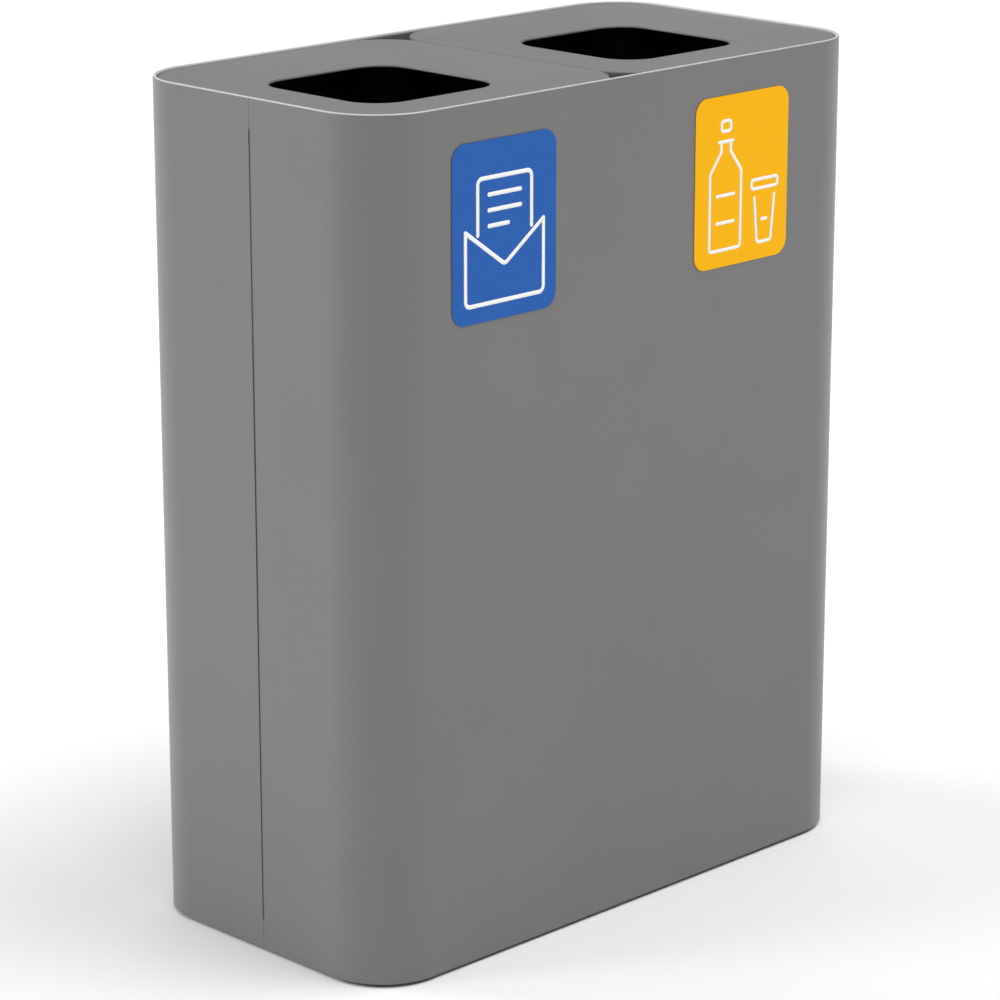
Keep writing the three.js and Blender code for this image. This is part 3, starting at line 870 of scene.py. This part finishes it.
placed_copies = placed_copies_tree()


def set_copies(name, places, turns, part, finish):
    """Copies of a part at places, each turned about Z, as one plain mesh."""
    mesh = bpy.data.meshes.new(name)
    mesh.from_pydata(places, [], [])
    mesh.attributes.new("turn", "FLOAT", "POINT").data.foreach_set("value", turns)
    copies = run_tree(new_object(name, mesh), placed_copies, {"Part": part, "Finish": finish})
    bpy.data.objects.remove(part)
    return copies


print("tree:", placed_copies.name, "with", len(placed_copies.nodes), "nodes")

# %% Turned parts: feet and screws
def turned(name, profile, steps):
    """Turns a profile of radius and height about Z. It is closed, or goes from axis to axis."""
    solid_core = profile[0][0] == 0
    circles = [
        [(x, y, z) for x, y in circle(radius, steps)]
        for radius, z in (profile[1:-1] if solid_core else profile)
    ]
    return loft(name, circles, closed=not solid_core)


foot_low, foot_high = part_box("foot_front_left")
foot_radius, foot_top = (foot_high.x - foot_low.x) / 2, foot_high.z
screw_low, screw_high = (corner.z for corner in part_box("foot_screw_front_left"))
HEAD_RADIUS = 5 * MM
HEAD_HEIGHT = 2.2 * MM
head_top = screw_low + HEAD_HEIGHT
RECESS_ROOM = 1 * MM  # round the screw's head
RECESS_FLARE = 0.5 * MM
SOLE_ROUND = 1.2 * MM
SOLE_INSET = 3.2 * MM
FOOT_EDGE = 1 * MM
FOOT_EDGE_MIDDLE = 0.3 * MM
recess = HEAD_RADIUS + RECESS_ROOM
recess_top = head_top + SEAT
foot_profile = (
    [(recess + RECESS_FLARE, 0.0), (foot_radius - SOLE_INSET, 0.0)]
    + arc((foot_radius - SOLE_INSET, SOLE_ROUND), SOLE_ROUND, -90, -15, 5)
    + [(foot_radius, foot_top - FOOT_EDGE)]
    + [(foot_radius - FOOT_EDGE_MIDDLE, foot_top - FOOT_EDGE_MIDDLE)]
    + [(foot_radius - FOOT_EDGE, foot_top), (SCREW_RADIUS + SEAT, foot_top)]
    + [(SCREW_RADIUS + SEAT, recess_top), (recess, recess_top), (recess, RECESS_FLARE)]
)
foot_model = turned("foot_model", foot_profile, steps=64)
shade(foot_model)
feet = set_copies("feet_moulded", foot_places, [0.0] * 4, foot_model, foot_rubber)
hand_over(feet, foot_rubber, "body", "foot_rubber", *("foot_" + foot for foot in FOOT_NAMES))

# %% [markdown]
# The screws are small, but both ends can be seen: a rounded head with a hexagon socket under each
# foot, and a threaded end that stands up inside the tray. A real thread is a helix. At a third of
# a millimetre deep, rings at the thread's pitch look the same and make a clean closed mesh.

# %% Foot screws
THREAD_PITCH = 0.8 * MM
THREAD_DEPTH = 0.35 * MM
SOCKET_HALF = 1.5 * MM
SOCKET_DEPTH = 1.2 * MM
THREAD_START = 0.6 * MM  # above the head
HEAD_ROUND = 1.6 * MM
thread = []
z = head_top + THREAD_START
while z < screw_high - 1.5 * THREAD_PITCH:
    thread += [(SCREW_RADIUS - THREAD_DEPTH, z), (SCREW_RADIUS, z + THREAD_PITCH / 2)]
    z += THREAD_PITCH
screw_profile = (
    [(0.0, screw_low), (HEAD_RADIUS - HEAD_ROUND, screw_low)]
    + arc((HEAD_RADIUS - HEAD_ROUND, screw_low + HEAD_ROUND), HEAD_ROUND, -90, 0, 6)
    + [(HEAD_RADIUS, head_top), (SCREW_RADIUS, head_top)]
    + thread
    + [(SCREW_RADIUS - THREAD_DEPTH, z), (SCREW_RADIUS / 2, screw_high), (0.0, screw_high)]
)
screw_model = turned("screw_model", screw_profile, steps=32)
hexagon = circle(SOCKET_HALF, 6)
socket_ends = [
    [(x, y, height) for x, y in hexagon]
    for height in (screw_low - SOCKET_DEPTH, screw_low + SOCKET_DEPTH)
]
cut(screw_model, loft("socket", socket_ends, closed=False))
shade(screw_model, sharp=30)
screws = set_copies("foot_screws_turned", foot_places, [0.0] * 4, screw_model, zinc_screw)
hand_over(
    screws, zinc_screw, "body", "screw_steel", *("foot_screw_" + foot for foot in FOOT_NAMES)
)
print("thread rings:", len(thread) // 2)

# %% [markdown]
# ## Pads under the lids
#
# Four short rubber pads keep each lid from rattling on its liner. They are die cut from strip, so
# their ends are nearly square and only their edges are slightly soft.

# %% Lid pads
PAD_SIDES = ("front", "rear", "outer", "inner")
PAD_LENGTH = 18 * MM
PAD_WIDTH = 4 * MM
PAD_CORNER = 0.6 * MM


def lid_pads(lid_name):
    """The four pads under one lid, as one mesh that goes with it."""
    names = [f"lid_pad_{lid_name}_{side}" for side in PAD_SIDES]
    boxes = [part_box(name) for name in names]
    places = [((low.x + high.x) / 2, (low.y + high.y) / 2, low.z) for low, high in boxes]
    turns = [0.0, 0.0, math.pi / 2, math.pi / 2]
    height = min(high.z - low.z for low, high in boxes)
    corner = [PAD_CORNER] * 4
    ends = [ring(PAD_LENGTH / 2, PAD_WIDTH / 2, corner, z, steps=4) for z in (0.0, height)]
    pad = loft("pad_model", ends, closed=False)
    ease(pad, width_mm=0.3)
    pads = set_copies(f"lid_{lid_name}_pads", places, turns, pad, foot_rubber)
    hand_over(pads, foot_rubber, "lid_" + lid_name, "pad_rubber", *names)
    return height


print("pad height (mm):", [round(lid_pads(name) / MM, 2) for name in ("left", "right")])

# %% [markdown]
# ## Labels
#
# The labels are plates of film with rounded corners, one blue and one yellow. They are lofted
# like the lids, between two upright outlines, and their edges are eased so that they catch a thin
# line of light.

# %% Film labels
LABEL_RADIUS = 14 * MM


def film_label(name, node, material, slot):
    low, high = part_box(node)
    centre_x, centre_z = (low.x + high.x) / 2, (low.z + high.z) / 2
    outline = ring((high.x - low.x) / 2, (high.z - low.z) / 2, [LABEL_RADIUS] * 4, 0.0, steps=16)
    ends = [[(centre_x + x, y, centre_z + z) for x, z, _ in outline] for y in (low.y, high.y)]
    label = loft(name, ends, closed=False)
    ease(label, width_mm=0.12)
    hand_over(label, material, "body", slot, node)
    return centre_x, low.y, centre_z


paper_place = film_label("label_paper_film", "label_paper", blue_film, "label_blue")
plastic_place = film_label("label_plastic_film", "label_plastic", yellow_film, "label_yellow")

# %% [markdown]
# ## Signs on the labels
#
# A sorting sign is drawn with one even line, as with a round pen. So each sign is a set of
# straight strokes in a flat drawing, and a third tree draws them: it rounds the corners, gives
# each stroke its width, sets a disc on each open end, and stands the drawing up on its label. The
# ink stands proud by less than a tenth of a millimetre. One sign is a letter in its envelope, the
# other a bottle beside a tub.

# %% The tree that draws a sign
PEN_CORNER_STEPS = 8
DISC_STEPS = 32
DISC_SHARE = 0.9  # discs are a little lower than the line, so no two faces share a plane


def pen_line_tree():
    tree, given, made = new_tree(
        "pen_line",
        {
            "Corner Radius": "Float",
            "Width": "Float",
            "Height": "Float",
            "Place": "Vector",
            "Ink": "Material",
        },
    )
    rounded = add_node(
        tree,
        "GeometryNodeFilletCurve",
        {"mode": "POLY"},
        {
            "Curve": given.outputs["Geometry"],
            "Count": PEN_CORNER_STEPS,
            "Limit Radius": True,
            "Radius": given.outputs["Corner Radius"],
        },
    )
    upright = add_node(
        tree, "GeometryNodeSetCurveNormal", {"mode": "Z_UP"}, {"Curve": rounded.outputs["Curve"]}
    )
    pen = add_node(
        tree,
        "GeometryNodeCurvePrimitiveQuadrilateral",
        inputs={"Width": given.outputs["Width"], "Height": given.outputs["Height"]},
    )
    line = add_node(
        tree,
        "GeometryNodeCurveToMesh",
        inputs={
            "Curve": upright.outputs["Curve"],
            "Profile Curve": pen.outputs["Curve"],
            "Fill Caps": True,
        },
    )
    half = add_node(
        tree, "ShaderNodeMath", {"operation": "MULTIPLY"}, {0: given.outputs["Width"], 1: 0.5}
    )
    lower = add_node(
        tree,
        "ShaderNodeMath",
        {"operation": "MULTIPLY"},
        {0: given.outputs["Height"], 1: DISC_SHARE},
    )
    disc = add_node(
        tree,
        "GeometryNodeMeshCylinder",
        inputs={
            "Vertices": DISC_STEPS,
            "Radius": half.outputs["Value"],
            "Depth": lower.outputs["Value"],
        },
    )
    ends = add_node(tree, "GeometryNodeCurveEndpointSelection")
    discs = add_node(
        tree,
        "GeometryNodeInstanceOnPoints",
        inputs={
            "Points": rounded.outputs["Curve"],
            "Selection": ends.outputs["Selection"],
            "Instance": disc.outputs["Mesh"],
        },
    )
    both = add_node(tree, "GeometryNodeJoinGeometry")
    tree.links.new(line.outputs["Mesh"], both.inputs["Geometry"])
    tree.links.new(discs.outputs["Instances"], both.inputs["Geometry"])
    stood_up = add_node(
        tree,
        "GeometryNodeTransform",
        inputs={
            "Geometry": both.outputs["Geometry"],
            "Translation": given.outputs["Place"],
            "Rotation": (math.pi / 2, 0.0, 0.0),
        },
    )
    real = add_node(
        tree, "GeometryNodeRealizeInstances", inputs={"Geometry": stood_up.outputs["Geometry"]}
    )
    inked = add_node(
        tree,
        "GeometryNodeSetMaterial",
        inputs={"Geometry": real.outputs["Geometry"], "Material": given.outputs["Ink"]},
    )
    tree.links.new(inked.outputs["Geometry"], made.inputs["Geometry"])
    return tree


pen_line = pen_line_tree()
INK_HEIGHT = 0.12 * MM
INK_LIFT = 0.004 * MM  # each stroke's ink lies on that of the strokes before


def sign(name, strokes, width_mm, corner_mm, place):
    """Draws strokes, given in millimetres from the label's centre, on the label's face."""
    drawing = [[(x * MM, y * MM) for x, y in stroke] for stroke in strokes]
    drawn = run_tree(
        drawn_curve(name, drawing, lift=INK_LIFT),
        pen_line,
        {
            "Corner Radius": corner_mm * MM,
            "Width": width_mm * MM,
            "Height": INK_HEIGHT,
            "Place": place,
            "Ink": white_ink,
        },
    )
    give_finish(drawn, white_ink)
    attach(drawn, "body")
    print(f"{name}: {len(strokes)} strokes, {len(drawn.data.polygons)} faces")


# %% A letter in its envelope, and a bottle beside a tub
def dashes(left, rights, top, step):
    """Level strokes, one under the other."""
    return [[(left, top - i * step), (right, top - i * step)] for i, right in enumerate(rights)]


letter_strokes = [
    [(-45, 2), (-45, -60), (45, -60), (45, 2)],
    [(-45, 2), (0, -30), (45, 2)],
    [(-31, -2), (-31, 44), (31, 44), (31, -2)],
] + dashes(-18, (18, 18, 4), 30, 13)
bottle_strokes = [
    [(-27, 35), (-27, 26), (-41, 8), (-41, -60), (-1, -60), (-1, 8), (-15, 26), (-15, 35)],
    [(-30, 35), (-12, 35)],
    [(-21, 44), (-27, 44), (-27, 53), (-15, 53), (-15, 44), (-21, 44)],
    [(-32, -12), (-10, -12)],
    [(-32, -36), (-10, -36)],
    [(30, -4), (13, -4), (13, -12), (47, -12), (47, -4), (30, -4)],
    [(17, -20), (21, -60), (39, -60), (43, -20)],
    [(27, -40), (33, -40)],
]
sign("label_paper_sign", letter_strokes, width_mm=3.6, corner_mm=5, place=paper_place)
sign("label_plastic_sign", bottle_strokes, width_mm=3.0, corner_mm=3, place=plastic_place)

# %% [markdown]
# ## Parts that keep the model's own shape
#
# The straps behind the seams and the Z-folded divider are plain bent sheets, so their solids are
# right as they are. They only take a finish: a pale primer on the straps, which keeps the slots
# grey instead of black, and a darker coat on the divider.

# %% Finishes for the carried-over parts
for node_name, material in (
    ("seam_strap_left", primer),
    ("seam_strap_right", primer),
    ("divider_panel", graphite),
):
    give_finish(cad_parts[node_name], material)
    print(node_name, "in", material.name)

# %% [markdown]
# ## Floor, light and camera
#
# The bin stands on a pale floor in a bright studio, where light comes from nearly everywhere.
# Wide sun lamps stand for the large soft boxes: their light is even over the whole floor, so it
# stays pale to the horizon. Each lamp has a direction from which it shines, and how wide it is.
# The world adds a weaker light from all sides. Just above the horizon it is brighter, as a pale
# backdrop would be, so low views stay pale too.

# %% Floor
floor_mesh = bpy.data.meshes.new("studio_floor")
REACH = 40.0  # metres from the middle to each edge
FLOOR_Z = -0.2 * MM  # just under the feet
corners = ((-REACH, -REACH), (REACH, -REACH), (REACH, REACH), (-REACH, REACH))
floor_mesh.from_pydata([(x, y, FLOOR_Z) for x, y in corners], [], [(0, 1, 2, 3)])
floor = new_object("studio_floor", floor_mesh)
floor_paint = surface(
    "matt_white_floor", (0xF8F8F8, 0xFAFAFA), tone_mm=400, sockets={"Roughness": 0.9}
)
floor_mesh.materials.append(floor_paint)

# %% Lights
# Name: azimuth in degrees from +X towards +Y, elevation, strength, width in degrees.
LAMPS = {
    "front_right": (315, 60, 1.53, 40),
    "front_left": (225, 60, 0.60, 40),
    "rear_right": (45, 60, 0.30, 40),
    "left": (150, 25, 0.80, 20),
    "rear_left": (120, 25, 0.95, 20),
    "top": (0, 90, 0.10, 30),
    "low_rear": (45, 25, 0.024, 12),
}
for name, (azimuth, elevation, strength, width) in LAMPS.items():
    lamp = bpy.data.lights.new("soft_light_" + name, "SUN")
    lamp.energy = strength
    lamp.angle = math.radians(width)
    holder = new_object(lamp.name, lamp)
    holder.rotation_euler = (math.radians(90 - elevation), 0.0, math.radians(azimuth + 90))

world = bpy.data.worlds.new("bright_studio")
world.use_nodes = True
STUDIO_LIGHT = 0.27
BACKDROP_LIGHT = 0.65
BACKDROP_TOP, BACKDROP_FADE = 4.7, 5.3  # elevations in degrees at which the backdrop ends
direction = add_node(world.node_tree, "ShaderNodeTexCoord").outputs["Generated"]
split = add_node(world.node_tree, "ShaderNodeSeparateXYZ", inputs={"Vector": direction})
brightness = add_node(
    world.node_tree,
    "ShaderNodeMapRange",
    inputs={
        "Value": split.outputs["Z"],
        "From Min": math.sin(math.radians(BACKDROP_TOP)),
        "From Max": math.sin(math.radians(BACKDROP_FADE)),
        "To Min": BACKDROP_LIGHT,
        "To Max": STUDIO_LIGHT,
    },
)
background = world.node_tree.nodes["Background"]
WHITE = (1.0, 1.0, 1.0, 1.0)
background.inputs["Color"].default_value = WHITE
world.node_tree.links.new(brightness.outputs["Result"], background.inputs["Strength"])
bpy.context.scene.world = world
bpy.context.scene.view_settings.view_transform = "Standard"
print("lamps:", len(LAMPS))

# %% Camera
# Place and angles were found from the bin's own corners in the photograph.
YAW = 0.7853141
PITCH = 0.2813858
PLACE = (-2.309206, -2.301838, 1.284532)
LENS_MM = 137.189
SENSOR_MM = 36.0
camera_data = bpy.data.cameras.new("photo_camera")
camera_data.lens = LENS_MM
camera_data.sensor_width = SENSOR_MM
camera = new_object("photo_camera", camera_data)
camera.location = PLACE
camera.rotation_euler = (math.pi / 2 - PITCH, 0.0, -YAW)
bpy.context.scene.camera = camera
print("camera at", [round(v, 3) for v in camera.location])
